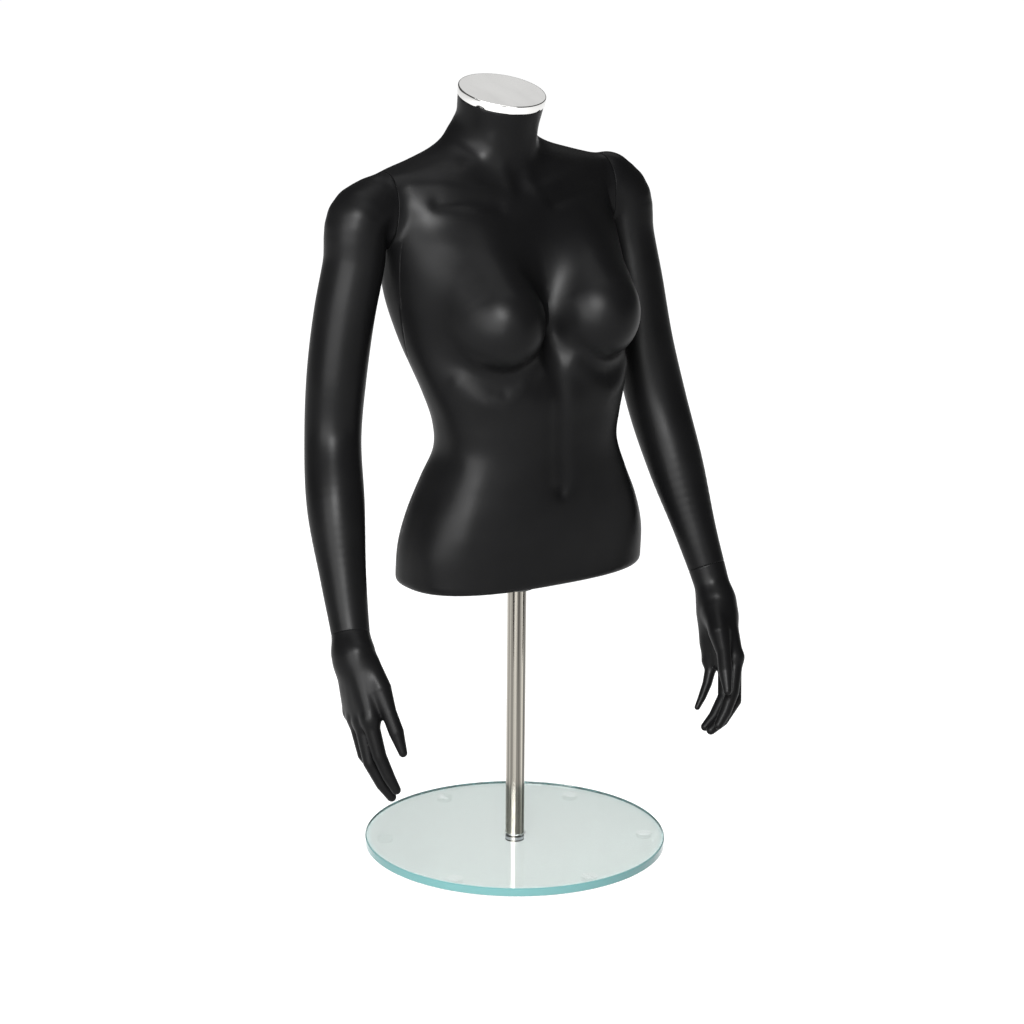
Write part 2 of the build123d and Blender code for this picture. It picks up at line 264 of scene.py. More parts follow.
NECK_TILT = radians(15.7)
NECK_UP = np.array([0, -sin(NECK_TILT), cos(NECK_TILT)])
CAP_TOP = np.array([0, 38.0, 879.0])
CAP_HEIGHT = 9.5
CAP_RADIUS = 49.6
NECK_RADIUS = 49.2
NECK_BACK = 98
NECK_LENGTH = 120
NECK_ROUNDING = 10
NECK_BLEND = 18
# the slimmest part of the neck: its depth below the top, how much slimmer, and over what length
NECK_WAIST_DOWN, NECK_WAIST_INSET, NECK_WAIST_SPREAD = 30, 3.0, 24
NECK_TOP = CAP_TOP - NECK_UP * CAP_HEIGHT
# each breast: from high on the chest down to its round end, deeper than it is wide
BREAST_TOP, BREAST_TOP_RADIUS = (68, 64, 720), 61
BREAST_END, BREAST_END_RADIUS = (64, -41, 638), 53
BREAST_STRETCH = np.array([1.02, 1.3, 1.1])
BREAST_BACK = 45
BREAST_BACK_ROUNDING = 30
BREAST_BLEND = 26
# the fuller side of each breast, towards the armpit
FLANK_TOP, FLANK_TOP_RADIUS = (98, 32, 718), 33
FLANK_END, FLANK_END_RADIUS = (81, -34, 646), 35
FLANK_BLEND = 22


def trunk_field(p):
    """The trunk without neck and breasts: a rounded oval at each height, swept back at the sides."""
    rows = smooth_table(TRUNK, p[:, 2])
    half, front, back, power, sweep = rows.T
    across = p[:, 0] / half
    middle = (front + back) / 2
    y = p[:, 1] - middle - sweep * np.minimum(across * across, SWEEP_LIMIT)
    along = y / ((back - front) / 2)
    share = (np.abs(across) ** power + np.abs(along) ** power + 1e-9) ** (1 / power)
    reach = np.hypot(p[:, 0], y)
    skin = reach - reach / share
    skin = meet(skin, HEM_HEIGHT - p[:, 2], HEM_ROUNDING)
    return meet(skin, p[:, 2] - TRUNK_TOP, TRUNK_TOP_ROUNDING)


def neck_field(p):
    q = p - NECK_TOP
    rise = q @ NECK_UP
    side = np.linalg.norm(q - rise[:, None] * NECK_UP, axis=-1)
    waist = NECK_WAIST_INSET * np.exp(-((rise + NECK_WAIST_DOWN) / NECK_WAIST_SPREAD) ** 2)
    skin = meet(side - NECK_RADIUS + waist, -rise - NECK_LENGTH, NECK_ROUNDING)
    return meet(skin, p[:, 1] - NECK_BACK, NECK_ROUNDING)


def breast_field(side, p):
    q = p * (side, 1, 1)
    flank = bone(q, FLANK_TOP, FLANK_END, FLANK_TOP_RADIUS, FLANK_END_RADIUS)
    evened = q / BREAST_STRETCH
    breast = bone(evened, BREAST_TOP / BREAST_STRETCH, BREAST_END / BREAST_STRETCH,
                  BREAST_TOP_RADIUS, BREAST_END_RADIUS)
    return meet(join(breast, flank, FLANK_BLEND), p[:, 1] - BREAST_BACK, BREAST_BACK_ROUNDING)


def torso_field(p):
    skin = join(trunk_field(p), neck_field(p), NECK_BLEND)
    return join(skin, np.minimum(breast_field(-1, p), breast_field(1, p)), BREAST_BLEND)


# ================================================================ the arms' shape
# each arm: its centre line and radii, its hand's place and directions, how far each finger joint
# bends in degrees, and how far each knuckle comes out towards the palm
ARMS = {
    "right": dict(
        sign=-1,
        path=[(-156, 55, 758), (-177, 50, 750), (-186, 49, 700), (-198, 48, 650), (-210, 46.5, 580),
              (-217, 44, 510), (-234, 10, 443), (-246, -26, 368), (-255, -58, 306), (-258.8, -68.9, 290)],
        radii=[34, 34.5, 34, 33.8, 33.2, 31.6, 32, 25.2, 20.8, 20.5],
        palm=(-258.8, -68.9, 297.9), down=(-0.017, -0.285, -0.958), palmar=(1.0, -0.023, -0.011),
        curls=dict(index=(8, 10, 6), middle=(4, 19, 8), ring=(6, 26, 12), little=(14, 26, 12)),
        cup=dict(index=-1, middle=0, ring=0, little=0)),
    "left": dict(
        sign=1,
        path=[(155, 54, 763), (171, 49, 749), (178.5, 43, 703), (182.5, 33, 650), (184.5, 16, 580),
              (193, 0, 512), (197, -35, 440), (202.5, -70, 366), (209, -101, 294), (207, -112, 275)],
        radii=[34, 33, 30.5, 32.4, 34.2, 35, 32, 24, 20, 19.8],
        palm=(209.1, -103.2, 290.8), down=(-0.098, -0.483, -0.870), palmar=(-0.936, 0.341, -0.084),
        curls=dict(index=(17, 14, 8), middle=(10, 33, 16), ring=(14, 24, 13), little=(24, 8, 4)),
        cup=dict(index=0, middle=1, ring=5, little=13)),
}


ARM_LINE_POINTS = 54


def arm_line(side):
    """Closely spaced points and radii along an arm."""
    arm = ARMS[side]
    points = np.array(arm["path"], float)
    runs = np.linalg.norm(np.diff(points, axis=0), axis=1)
    travel = np.concatenate([[0], np.cumsum(runs)])
    table = np.column_stack([travel, points, arm["radii"]])
    smooth = smooth_table(table, np.linspace(0, travel[-1], ARM_LINE_POINTS))
    return smooth[:, :3], smooth[:, 3]


def arm_field(side, p):
    points, radii = arm_line(side)
    return chain(p, points, radii)


# each soft ridge or hollow: its line on the right and left, its height and its width
BODY_LINES = [
    # collar bones
    ([(20, -6, 771), (45, 0, 775), (72, 9, 780), (102, 20, 785), (122, 30, 786)], 3.5, 9.0),
    # hollows under the collar bones
    ([(36, -12, 758), (70, -4, 762), (104, 8, 764)], -3.0, 8.0),
    # slopes from the neck down to the collar bones
    ([(40, 12, 812), (62, 14, 798), (88, 20, 790)], 2.5, 14.0),
    # neck tendons
    ([(13, -2, 779), (20, 1, 806), (32, 8, 828)], 2.0, 9.0),
    # ledges of the ribs under the breasts
    ([(26, -70, 586), (48, -78, 563), (68, -78, 551), (86, -70, 556), (110, -50, 574)], 4.5, 13.0),
    # fronts of the hips
    ([(98, -56, 476), (106, -58, 440), (112, -62, 405)], 2.0, 20.0),
]
MIDDLE_LINES = [
    # pit of the neck
    ([(0, 0, 790), (0, -3, 782)], -4.0, 10.0),
    # middle of the belly
    ([(0, -60, 620), (0, -74, 580), (0, -85, 530), (0, -87, 456)], -5.0, 13.0),
    # navel
    ([(0, -89, 451), (0, -89, 445)], -5.0, 5.0),
]


def body_relief(p):
    """How far all the ridges and hollows raise the skin."""
    rise = 0.0
    for points, height, width in BODY_LINES:
        for line in both_sides(points):
            rise = rise + ridge(p, line, height, width)
    for points, height, width in MIDDLE_LINES:
        rise = rise + ridge(p, points, height, width)
    return rise


ARMPIT = 732.0
ARMPIT_SLOPE = 1.6
SHOULDER_BLEND = 12
# the round flesh that covers the turning joint, on the axis of the joint
SHOULDER_CORE = [(118, 54, 742), (141, 54, 742)]
SHOULDER_CORE_RADIUS = 30.5
SHOULDER_CORE_BLEND = 8


def below_armpit(p):
    """Keeps the arm and the torso apart below the armpit."""
    return ARMPIT_SLOPE * np.maximum(ARMPIT - p[:, 2], 0)


def shoulder_core(side, p):
    inner, outer = np.array(SHOULDER_CORE) * (ARMS[side]["sign"], 1, 1)
    return bone(p, inner, outer, SHOULDER_CORE_RADIUS, SHOULDER_CORE_RADIUS)


def torso_skin(p):
    skin = torso_field(p)
    for side in ARMS:
        skin = join(skin, arm_field(side, p) + below_armpit(p), SHOULDER_BLEND)
        skin = join(skin, shoulder_core(side, p), SHOULDER_CORE_BLEND)
    return skin - body_relief(p)


def arm_skin(side, p):
    skin = join(arm_field(side, p), torso_field(p) + below_armpit(p), SHOULDER_BLEND)
    return join(skin, shoulder_core(side, p), SHOULDER_CORE_BLEND) - body_relief(p)


# ================================================================ the hands' shape
# places in a hand are (towards the fingertips, towards the thumb, out of the palm)
KNUCKLES = dict(index=(72, 22, -3), middle=(75, 6, -5), ring=(71, -9, -4), little=(64, -23, -1))
FINGER_BONES = dict(index=(42, 25, 17), middle=(45, 28, 18), ring=(41, 26, 17), little=(29, 17, 14))
FINGER_RADII = dict(index=(9.2, 7.7, 6.8, 5.2), middle=(9.4, 7.8, 6.9, 5.3),
                    ring=(8.9, 7.4, 6.5, 5.0), little=(7.2, 5.6, 4.7, 3.3))
THUMB = [(16, 13, 7), (42, 26, 11), (68, 35, 13.5), (90, 39, 17), (113, 42, 20)]
THUMB_RADII = [14.5, 13.0, 8.4, 8.3, 4.8]
# the palm: one bone to each knuckle, closer together at the wrist, and a pad at the heel
PALM_START = 2
PALM_NARROWING = 0.38
PALM_LIFT = 2
PALM_RADII = (16.5, 11.0)
HEEL = [(12, -14, 7), (42, -20, 9)]
HEEL_RADII = (13.5, 12.0)
PALM_BLEND = 10
WEB_BLEND = 1.2
FINGER_BLEND = 5
WRIST_BLEND = 12


def hand_frame(side):
    """A hand's own directions: towards the fingertips, towards the thumb, and out of the palm."""
    arm = ARMS[side]
    down = unit(arm["down"])
    thumbward = unit(np.cross(down, unit(arm["palmar"]))) * -arm["sign"]
    palmar = unit(np.cross(down, thumbward)) * arm["sign"]
    return np.array(arm["palm"], float), down, thumbward, palmar


def hand_place(side, spot):
    origin, down, thumbward, palmar = hand_frame(side)
    return origin + spot[0] * down + spot[1] * thumbward + spot[2] * palmar


def knuckle(side, finger):
    """A knuckle in the hand's directions; a cupped hand brings it out towards the palm."""
    reach, across, rise = KNUCKLES[finger]
    return reach, across, rise + ARMS[side]["cup"][finger]


def finger_line(side, finger):
    """The joints of a finger, from the knuckle to the tip."""
    _, down, _, palmar = hand_frame(side)
    points = [hand_place(side, knuckle(side, finger))]
    bend = 0.0
    for length, curl in zip(FINGER_BONES[finger], ARMS[side]["curls"][finger]):
        bend += radians(curl)
        points.append(points[-1] + length * (cos(bend) * down + sin(bend) * palmar))
    return points


def palm_field(side, p):
    palm = None
    for finger in KNUCKLES:
        reach, across, rise = knuckle(side, finger)
        start = hand_place(side, (PALM_START, across * PALM_NARROWING, 0))
        end = hand_place(side, (reach, across, rise + PALM_LIFT))
        part = bone(p, start, end, *PALM_RADII)
        palm = part if palm is None else join(palm, part, PALM_BLEND)
    heel = chain(p, [hand_place(side, spot) for spot in HEEL], HEEL_RADII)
    return join(palm, heel, PALM_BLEND)


def hand_field(side, p):
    """A hand with the end of its forearm, so that the two run on smoothly."""
    fingers = None
    for finger in KNUCKLES:
        part = chain(p, finger_line(side, finger), FINGER_RADII[finger])
        fingers = part if fingers is None else join(fingers, part, WEB_BLEND)
    hand = join(palm_field(side, p), fingers, FINGER_BLEND)
    thumb = chain(p, [hand_place(side, spot) for spot in THUMB], THUMB_RADII)
    hand = join(hand, thumb, FINGER_BLEND)
    return join(hand, arm_field(side, p), WRIST_BLEND)


# ================================================================ cutting the skin into pieces
def to_bmesh(points, faces):
    mesh = bpy.data.meshes.new("raw")
    mesh.from_pydata(points.tolist(), [], faces.tolist())
    bm = bmesh.new()
    bm.from_mesh(mesh)
    bpy.data.meshes.remove(mesh)
    bm.normal_update()
    return bm


def faces_where(bm, wanted):
    """The faces that a test picks, with their edges and vertices."""
    faces = [face for face in bm.faces if wanted(face.calc_center_median())]
    edges = {edge for face in faces for edge in face.edges}
    verts = {v for face in faces for v in face.verts}
    return [*verts, *edges, *faces]


def slice_off(bm, spot, outward, lowest):
    """Cuts away what lies beyond a plane and above a height, and gives back the edges left on the plane."""
    near = faces_where(bm, lambda middle: middle.z > lowest)
    bmesh.ops.bisect_plane(bm, geom=near, plane_co=spot, plane_no=outward, clear_outer=True)
    bm.normal_update()
    return [edge for edge in bm.edges if edge.is_boundary
            and all(abs((v.co - spot).dot(outward)) < 0.01 for v in edge.verts)]


def add_rim(bm, edges, spot, outward, steps):
    """Adds rings of faces inward from a cut. Each step is (inset, depth behind the plane)."""
    ends = {}
    inward = {}
    for edge in edges:
        for v in edge.verts:
            flat = v.normal - v.normal.dot(outward) * outward
            inward[v] = -flat.normalized()
            ends[v] = v.co - (v.co - spot).dot(outward) * outward
    last = {v: v for v in ends}
    walks = []
    for edge in edges:
        loop = edge.link_loops[0]
        walks.append((loop.link_loop_next.vert, loop.vert))
    for inset, depth in steps:
        fresh = {v: bm.verts.new(ends[v] + inward[v] * inset - outward * depth) for v in ends}
        for a, b in walks:
            bm.faces.new((last[a], last[b], fresh[b], fresh[a]))
        last = fresh
    return [(last[a], last[b]) for a, b in walks]


def close_end(bm, walks):
    """Closes a rim with a fan of faces to its middle."""
    middle = Vector((0, 0, 0))
    for a, _ in walks:
        middle += a.co / len(walks)
    centre = bm.verts.new(middle)
    for a, b in walks:
        bm.faces.new((a, b, centre))


def cut_end(bm, spot, outward, steps, lowest=0.0):
    """One finished end: a cut a little before the plane, then a rounded rim."""
    spot, outward = Vector(spot), Vector(outward)
    edges = slice_off(bm, spot - outward * SEAM_ROUNDING, outward, lowest)
    return add_rim(bm, edges, spot, outward, steps)


SHARP_ANGLE = radians(35.0)


def shade(bm):
    """Smooth shading, with crisp edges where the surface turns sharply."""
    for face in bm.faces:
        face.smooth = True
    bm.normal_update()
    for edge in bm.edges:
        edge.smooth = not (edge.is_manifold and edge.calc_face_angle(0.0) > SHARP_ANGLE)


def finish_piece(name, bm, body, slot, nodes):
    """Scales a piece to metres, gives it its slot's material and hands it to the frame."""
    bmesh.ops.scale(bm, vec=(MM, MM, MM), verts=bm.verts)
    shade(bm)
    mesh = bpy.data.meshes.new(name)
    bm.to_mesh(mesh)
    bm.free()
    piece = bpy.data.objects.new(name, mesh)
    bpy.context.scene.collection.objects.link(piece)
    mesh.materials.append(MATERIALS[slot])
    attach(piece, body)
    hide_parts(*nodes)


# ================================================================ materials
def set_inputs(node, values):
    for name, value in values.items():
        node.inputs[name].default_value = value


# the middle part of a noise texture's range, where nearly all its values are
COLOUR_SPREAD = (0.35, 0.65)
LEVEL_SPREAD = (0.3, 0.7)


class Surface:
    """A procedural material around one Principled shader, in the piece's own coordinates."""

    def __init__(self, name, **values):
        self.material = bpy.data.materials.new(name)
        self.material.use_nodes = True
        self.tree = self.material.node_tree
        self.shader = self.tree.nodes["Principled BSDF"]
        set_inputs(self.shader, values)
        self.place = self.tree.nodes.new("ShaderNodeTexCoord").outputs["Object"]

    def link(self, source, target):
        self.tree.links.new(source, target)

    def stretched(self, scale):
        node = self.tree.nodes.new("ShaderNodeMapping")
        node.inputs["Scale"].default_value = scale
        self.link(self.place, node.inputs["Vector"])
        return node.outputs["Vector"]

    def noise(self, scale, detail=3.0, place=None):
        node = self.tree.nodes.new("ShaderNodeTexNoise")
        set_inputs(node, {"Scale": scale, "Detail": detail})
        self.link(place or self.place, node.inputs["Vector"])
        return node.outputs["Fac"]

    def ramp(self, source, stops):
        stops = list(stops)
        node = self.tree.nodes.new("ShaderNodeValToRGB")
        while len(node.color_ramp.elements) < len(stops):
            node.color_ramp.elements.new(0.5)
        for element, (place, colour) in zip(node.color_ramp.elements, stops):
            element.position = place
            element.color = (*colour, 1)
        self.link(source, node.inputs["Fac"])
        return node.outputs["Color"]

    def colour(self, source, dark, light):
        """Base colour between two shades."""
        tint = self.ramp(source, zip(COLOUR_SPREAD, (dark, light)))
        self.link(tint, self.shader.inputs["Base Color"])

    def level(self, source, low, high):
        """The source, spread between two values."""
        node = self.tree.nodes.new("ShaderNodeMapRange")
        bottom, top = LEVEL_SPREAD
        set_inputs(node, {"From Min": bottom, "From Max": top, "To Min": low, "To Max": high})
        self.link(source, node.inputs["Value"])
        return node.outputs["Result"]

    def roughness(self, source, low, high):
        self.link(self.level(source, low, high), self.shader.inputs["Roughness"])

    def bump(self, source, height, strength):
        """Fine relief, on top of any relief that is there already."""
        node = self.tree.nodes.new("ShaderNodeBump")
        set_inputs(node, {"Strength": strength, "Distance": height})
        self.link(source, node.inputs["Height"])
        if self.shader.inputs["Normal"].links:
            self.link(self.shader.inputs["Normal"].links[0].from_socket, node.inputs["Normal"])
        self.link(node.outputs["Normal"], self.shader.inputs["Normal"])


def satin_lacquer(name):
    """Sprayed black lacquer with a soft satin gloss and faint handling marks."""
    skin = Surface(name, **{"Specular IOR Level": 0.060})
    skin.colour(skin.noise(9.0), (0.0014, 0.0014, 0.0015), (0.0023, 0.0023, 0.0024))
    skin.roughness(skin.noise(22.0, 6.0), 0.35, 0.42)
    skin.bump(skin.noise(420.0, 2.0), 0.00006, 0.35)
    skin.bump(skin.noise(60.0, 1.0), 0.0003, 0.10)
    return skin.material


def polished_metal(name, colour, low, high, grain=(400.0, 400.0, 12.0), contrast=0.9):
    """Plated metal with fine lines along its grain. The contrast is the dark lines' share of the colour: near 1
    they are faint drawn lines in the metal, and a low contrast turns them into strong dark streaks, painted
    reflections of the surroundings.
    """
    metal = Surface(name, Metallic=1.0)
    # painted reflection where the contrast is low: the dark streaks stand in for the surroundings seen in the
    # metal
    drawn_lines_and_reflections = metal.noise(1.0, 4.0, metal.stretched(grain))
    metal.colour(drawn_lines_and_reflections, [c * contrast for c in colour], colour)
    metal.roughness(drawn_lines_and_reflections, low, high)
    metal.bump(drawn_lines_and_reflections, 0.00001, 0.3)
    return metal.material


def plain_plastic(name, dark, light, low, high, grain=260.0):
    plastic = Surface(name)
    plastic.colour(plastic.noise(14.0), dark, light)
    plastic.roughness(plastic.noise(45.0, 5.0), low, high)
    plastic.bump(plastic.noise(grain, 2.0), 0.0001, 0.3)
    return plastic.material


def clear_silicone(name):
    pad = Surface(name, Alpha=0.05)
    pad.colour(pad.noise(30.0), (0.62, 0.68, 0.66), (0.72, 0.78, 0.76))
    pad.roughness(pad.noise(120.0, 4.0), 0.2, 0.3)
    pad.bump(pad.noise(500.0, 2.0), 0.00003, 0.2)
    return pad.material


def painted_board(name):
    board = Surface(name)
    grain = board.noise(1.0, 6.0, board.stretched((18.0, 260.0, 260.0)))
    board.colour(grain, (0.012, 0.012, 0.012), (0.03, 0.029, 0.028))
    board.roughness(grain, 0.55, 0.75)
    board.bump(grain, 0.0003, 0.4)
    return board.material


GLASS_RADIUS = 175.0
# the tinted ring of the glass, as shares of its radius
EDGE_START = (GLASS_RADIUS - 1.6) / GLASS_RADIUS
EDGE_FULL = EDGE_START + 0.004
GLASS_TINTS = [(0.0, (0.745, 0.80, 0.782)), (0.96, (0.73, 0.795, 0.775)),
               (EDGE_START, (0.66, 0.80, 0.79)), (EDGE_FULL, (0.05, 0.125, 0.125))]
GLASS_CLEARNESS = [(0.0, (1, 1, 1)), (EDGE_START, (1, 1, 1)), (EDGE_FULL, (0.1, 0.1, 0.1))]


def share_of_radius(surface, radius):
    """How far a spot is from the upright axis: 0 on it, 1 at the radius."""
    length = surface.tree.nodes.new("ShaderNodeVectorMath")
    length.operation = "LENGTH"
    surface.link(surface.stretched((1.0, 1.0, 0.0)), length.inputs[0])
    share = surface.tree.nodes.new("ShaderNodeMath")
    share.operation = "DIVIDE"
    share.inputs[1].default_value = radius * MM
    surface.link(length.outputs["Value"], share.inputs[0])
    return share.outputs[0]


def base_glass(name):
    """Thick float glass: pale on its faces, sea green in its polished edge."""
    glass = Surface(name, **{"IOR": 1.5, "Transmission Weight": 1.0})
    share = share_of_radius(glass, GLASS_RADIUS)
    glass.link(glass.ramp(share, GLASS_TINTS), glass.shader.inputs["Base Color"])
    glass.link(glass.ramp(share, GLASS_CLEARNESS), glass.shader.inputs["Transmission Weight"])
    glass.roughness(glass.noise(35.0, 5.0), 0.02, 0.05)
    glass.bump(glass.noise(300.0, 2.0), 0.00002, 0.1)
    return glass.material


# how fine a metal's lines are along X, Y and Z; the post's long upright streaks are painted reflections
POST_REFLECTION_STREAKS = (170.0, 170.0, 0.6)
CAP_GRAIN = (30.0, 5.0, 30.0)
BLACK_RUBBER = ((0.01, 0.01, 0.01), (0.022, 0.022, 0.022))
BLACK_PAINT = ((0.012, 0.012, 0.012), (0.022, 0.022, 0.022))
MATERIALS = {
    "base_glass": base_glass("glass_base"),
    "clear_pad": clear_silicone("pad_clear"),
    "black_rubber": plain_plastic("rubber_black", *BLACK_RUBBER, 0.7, 0.85, 600.0),
    "zinc_steel": polished_metal("steel_zinc", (0.55, 0.56, 0.58), 0.28, 0.42),
    "white_nylon": plain_plastic("nylon_white", (0.66, 0.66, 0.62), (0.78, 0.78, 0.74), 0.35, 0.5),
    # painted reflection: the post's darkened warm colour and its strong dark upright streaks stand in for the
    # studio seen in the chrome
    "post_chrome": polished_metal("chrome_post_painted_reflections", (0.45, 0.425, 0.375), 0.10, 0.18, POST_REFLECTION_STREAKS, 0.10),
    "torso_skin": satin_lacquer("lacquer_torso"),
    "arm_skin": satin_lacquer("lacquer_arm"),
    "hand_skin": satin_lacquer("lacquer_hand"),
    "black_board": painted_board("board_black"),
    "black_steel": plain_plastic("steel_black", *BLACK_PAINT, 0.4, 0.55, 500.0),
    "magnet": plain_plastic("magnet_grey", (0.05, 0.05, 0.055), (0.1, 0.1, 0.105), 0.45, 0.65, 500.0),
    "knob_black": plain_plastic("knob_plastic", *BLACK_PAINT, 0.3, 0.45),
    "cap_chrome": polished_metal("chrome_cap", (0.74, 0.735, 0.72), 0.05, 0.09, CAP_GRAIN),
}
for part in frame["record"]["subparts"]:
    data = frame["nodes"][part["node"]].data
    data.materials.clear()
    data.materials.append(MATERIALS[part["material_slot"]])


# ================================================================ where the joints are
JOINTS = {joint["name"]: joint for joint in frame["joints"]}


def joint_place(name):
    joint = JOINTS[name]
    return Vector(joint["pos_m"]) / MM, Vector(joint["axis"]).normalized()


def shoulder_seam(side):
    """A point on the seam's plane and the direction out of the torso."""
    spot, axis = joint_place(side + "_shoulder_turn")
    return spot, axis * (1 if axis.x * ARMS[side]["sign"] > 0 else -1)


def wrist_seam(side):
    return joint_place(side + "_wrist_turn")


# ================================================================ torso, arms and hands
# the boxes that hold each shape, and the sizes of their mesh cells
TORSO_BOX = (-185, -150, 325), (185, 130, 890)
ARM_BOXES = {
    "right": ((-300, -130, 285), (-125, 120, 810)),
    "left": ((130, -150, 285), (260, 120, 810)),
}
# a hand's box, in the hand's own directions
HAND_BOX = (-60, 190), (-45, 58), (-32, 85)
TORSO_STEP = 4.0
ARM_STEP = 3.4
HAND_STEP = 1.7
# the rims: each step inward from the skin, and its depth behind the plane of the joint
SEAM_ROUNDING = 1.0
SEAM_RIM = [(0.12, 0.5), (0.5, 0.2), (4.0, 0.2), (4.0, 1.2)]
WRIST_RIM = [(0.1, 0.5), (0.35, 0.12), (2.6, 0.12), (2.6, 1.2)]
NECK_RIM = [(0.2, 0.5), (0.8, 0.15), (4.0, 0.15), (4.0, 1.2)]
HEM_RIM = [(0.8, 0.7), (1.5, 0.8), (1.5, 2.6)]
SHOULDER_CUT_LOWEST = ARMPIT - 80
# the plates behind the rims, and the holes through them
PLATE_THICKNESS = 4.0
SOCKET_LENGTH = 20.0
PLATE_DEPTH = 1.3
PLATE_SHRINK = 0.95
SHOULDER_HOLE = 14.2
PEG_HOLE = 7.0
WRIST_HOLE = 8.1
# the groove between the front and back mouldings
MOULD_SEAM_Y = 20.0
MOULD_SEAM_HALF = 0.8
MOULD_SEAM_TOP = 722.0
MOULD_SEAM_FADE = 20
MOULD_SEAM_DEPTH = 0.45
MOULD_SEAM_INNER_X = 60


def score_mould_seam(bm):
    """The fine groove down each flank, where the front and back mouldings meet."""
    across = Vector((0, 1, 0))
    for shift in (-MOULD_SEAM_HALF, 0, MOULD_SEAM_HALF):
        flanks = faces_where(bm, lambda middle: middle.z < MOULD_SEAM_TOP)
        bmesh.ops.bisect_plane(bm, geom=flanks, plane_co=(0, MOULD_SEAM_Y + shift, 0), plane_no=across)
    bm.normal_update()
    for v in bm.verts:
        if abs(v.co.y - MOULD_SEAM_Y) < 0.001 and abs(v.co.x) > MOULD_SEAM_INNER_X:
            share = min(max((MOULD_SEAM_TOP - v.co.z) / MOULD_SEAM_FADE, 0), 1)
            v.co -= v.normal * MOULD_SEAM_DEPTH * share


def end_plate(name, rim, seam, hole, thickness, body, slot, node):
    """A flat plate that fills a rim, with a round hole at the joint's axis."""
    spot, outward = seam
    bm = bmesh.new()
    rings = {}
    for a, _ in rim:
        flat = a.co - spot
        flat -= flat.dot(outward) * outward
        flat *= PLATE_SHRINK
        inner = flat.normalized() * hole
        top = spot - outward * PLATE_DEPTH
        bottom = top - outward * thickness
        corners = (top + flat, top + inner, bottom + inner, bottom + flat)
        rings[a] = [bm.verts.new(corner) for corner in corners]
    for a, b in rim:
        for k in range(4):
            bm.faces.new((rings[a][k], rings[b][k], rings[b][k - 3], rings[a][k - 3]))
    bmesh.ops.recalc_face_normals(bm, faces=bm.faces[:])
    finish_piece(name, bm, body, slot, [node])


def build_torso():
    points, faces = sculpt(torso_skin, *TORSO_BOX, TORSO_STEP)
    bm = to_bmesh(points, faces)
    score_mould_seam(bm)
    rims = {side: cut_end(bm, *shoulder_seam(side), SEAM_RIM, SHOULDER_CUT_LOWEST) for side in ARMS}
    cut_end(bm, NECK_TOP, NECK_UP, NECK_RIM)
    cut_end(bm, (0, 0, HEM_HEIGHT), (0, 0, -1), HEM_RIM)
    for side in ARMS:
        end_plate(side + "_shoulder_end", rims[side], shoulder_seam(side), SHOULDER_HOLE, PLATE_THICKNESS,
                  "torso", "zinc_steel", side + "_shoulder_plate")
    finish_piece("torso_skin", bm, "torso", "torso_skin", ["torso_front_shell", "torso_rear_shell"])


def build_arm(side):
    points, faces = sculpt(lambda p: arm_skin(side, p), *ARM_BOXES[side], ARM_STEP)
    bm = to_bmesh(points, faces)
    spot, outward = shoulder_seam(side)
    shoulder = spot, -outward
    wrist = wrist_seam(side)
    shoulder_rim = cut_end(bm, *shoulder, SEAM_RIM)
    wrist_rim = cut_end(bm, *wrist, WRIST_RIM)
    body = side + "_arm"
    end_plate(side + "_arm_end", shoulder_rim, shoulder, PEG_HOLE, PLATE_THICKNESS,
              body, "black_board", side + "_arm_plate")
    end_plate(side + "_wrist_end", wrist_rim, wrist, WRIST_HOLE, SOCKET_LENGTH,
              body, "white_nylon", side + "_wrist_socket")
    finish_piece(side + "_arm_skin", bm, body, "arm_skin", [side + "_arm_shell"])


def build_hand(side):
    corners = [hand_place(side, corner) for corner in product(*HAND_BOX)]
    low, high = np.min(corners, axis=0), np.max(corners, axis=0)
    points, faces = sculpt(lambda p: hand_field(side, p), low, high, HAND_STEP)
    bm = to_bmesh(points, faces)
    wrist, along = wrist_seam(side)
    rim = cut_end(bm, wrist, -along, WRIST_RIM[:3])
    close_end(bm, rim)
    finish_piece(side + "_hand_skin", bm, side + "_hand", "hand_skin", [side + "_hand"])


build_torso()
for arm_side in ARMS:
    build_arm(arm_side)
    build_hand(arm_side)


# ================================================================ the neck cap
CAP_TURNS = 160
# radius and height of each ring, from the underside round the edge to the top; radius 0 is the axis
CAP_PROFILE = [
    (0, 0.15),
    (CAP_RADIUS - 0.9, 0.15),
    (CAP_RADIUS - 0.25, 0.35),
    (CAP_RADIUS, 0.9),
    (CAP_RADIUS, CAP_HEIGHT - 1.3),
    (CAP_RADIUS - 0.12, CAP_HEIGHT - 0.7),
    (CAP_RADIUS - 0.5, CAP_HEIGHT - 0.25),
    (CAP_RADIUS - 1.1, CAP_HEIGHT - 0.05),
    (CAP_RADIUS - 1.8, CAP_HEIGHT),
    (0, CAP_HEIGHT),
]


def lathe(profile, spot, up, turns):
    """A solid of revolution."""
    bm = bmesh.new()
    up = Vector(up).normalized()
    side = up.orthogonal().normalized()
    front = up.cross(side)
    rings = []
    for radius, height in profile:
        centre = Vector(spot) + up * height
        if radius == 0:
            rings.append([bm.verts.new(centre)] * turns)
            continue
        ring = []
        for k in range(turns):
            turn = 2 * pi * k / turns
            ring.append(bm.verts.new(centre + side * radius * cos(turn) + front * radius * sin(turn)))
        rings.append(ring)
    for lower, upper in zip(rings, rings[1:]):
        for k in range(turns):
            corners = [lower[k - 1], lower[k], upper[k], upper[k - 1]]
            bm.faces.new(list(dict.fromkeys(corners)))
    bmesh.ops.recalc_face_normals(bm, faces=bm.faces[:])
    return bm


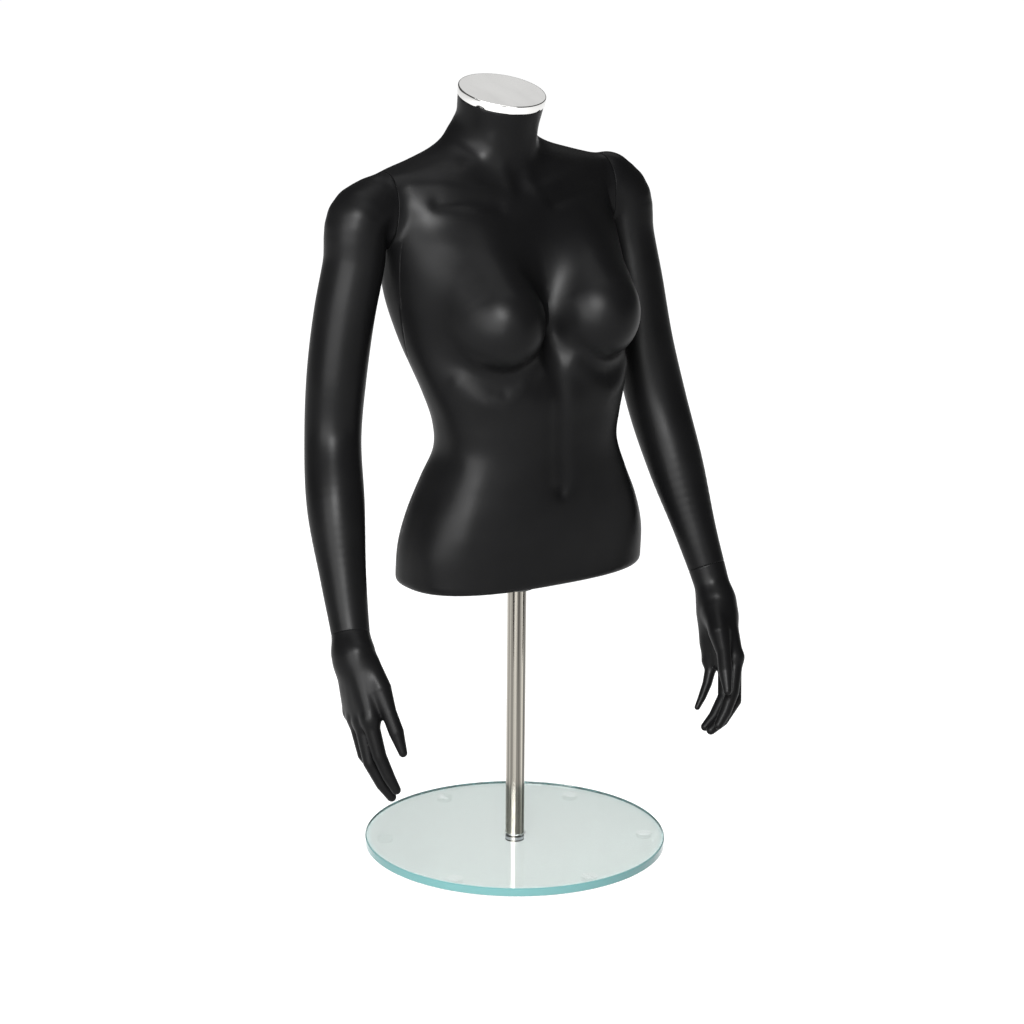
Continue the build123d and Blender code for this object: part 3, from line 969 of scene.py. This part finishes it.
cap = lathe(CAP_PROFILE, NECK_TOP, NECK_UP, CAP_TURNS)
finish_piece("neck_cap_turned", cap, "cap", "cap_chrome", ["neck_cap"])


# ================================================================ camera, light and floor
CAMERA_PLACE = (-1.8752, -2.7801, 1.3023)
CAMERA_TURN = radians(-33.89)
CAMERA_TIP = radians(15.01)
CAMERA_ROLL = radians(0.5)
CAMERA_LENS = 107.2
# each light: place, what it points at, width and height in metres, power in watts
LIGHTS = {
    "key_wide": ((-3.0, -2.0, 1.45), (0, 0, 0.6), (3.4, 2.7), 430.0),
    "key_core": ((-1.75, -2.2, 2.4), (0, 0, 0.6), (1.0, 1.0), 270.0),
    "fill": ((-0.3, -3.9, 1.3), (0, 0, 0.5), (2.0, 2.0), 25.0),
    "top": ((0.0, -0.1, 3.0), (0, 0, 0.7), (1.6, 1.6), 28.0),
    "cap_card": ((2.2, 2.24, 3.4), (0, 0, 0.87), (1.8, 1.8), 8.0),
}
FLOOR_HALF_SIZE = 30.0
# keeps the floor just clear of the undersides of the feet
FLOOR_DROP = 0.0003
FLOOR_GLOW = 0.97
SKY_STRENGTH = 0.10


def add_camera():
    data = bpy.data.cameras.new("camera")
    data.lens = CAMERA_LENS
    data.sensor_width = 36.0
    data.clip_end = 100.0
    camera = bpy.data.objects.new("camera", data)
    aim = Euler((pi / 2 - CAMERA_TIP, 0, CAMERA_TURN)).to_matrix() @ Matrix.Rotation(CAMERA_ROLL, 3, "Z")
    camera.matrix_world = Matrix.Translation(CAMERA_PLACE) @ aim.to_4x4()
    bpy.context.scene.collection.objects.link(camera)
    bpy.context.scene.camera = camera


def add_light(name, place, target, size, power):
    data = bpy.data.lights.new(name, "AREA")
    data.shape = "RECTANGLE"
    data.size, data.size_y = size
    data.energy = power
    light = bpy.data.objects.new(name, data)
    light.location = place
    light.rotation_euler = (Vector(place) - Vector(target)).to_track_quat("Z", "Y").to_euler()
    bpy.context.scene.collection.objects.link(light)


def add_floor():
    bm = bmesh.new()
    bmesh.ops.create_grid(bm, x_segments=8, y_segments=8, size=FLOOR_HALF_SIZE)
    mesh = bpy.data.meshes.new("floor")
    bm.to_mesh(mesh)
    bm.free()
    floor = bpy.data.objects.new("floor", mesh)
    floor.location.z = -FLOOR_DROP
    bpy.context.scene.collection.objects.link(floor)
    paper = Surface("paper_white", **{"Emission Color": (1, 1, 1, 1), "Emission Strength": FLOOR_GLOW})
    paper.colour(paper.noise(2.0), (0.23, 0.23, 0.23), (0.25, 0.25, 0.25))
    paper.roughness(paper.noise(40.0), 0.85, 0.95)
    mesh.materials.append(paper.material)


def add_world():
    world = bpy.data.worlds.new("studio")
    world.use_nodes = True
    set_inputs(world.node_tree.nodes["Background"], {"Color": (1, 1, 1, 1), "Strength": SKY_STRENGTH})
    bpy.context.scene.world = world


add_camera()
add_floor()
add_world()
for light_name, light_values in LIGHTS.items():
    add_light(light_name, *light_values)
bpy.context.scene.view_settings.view_transform = "Standard"
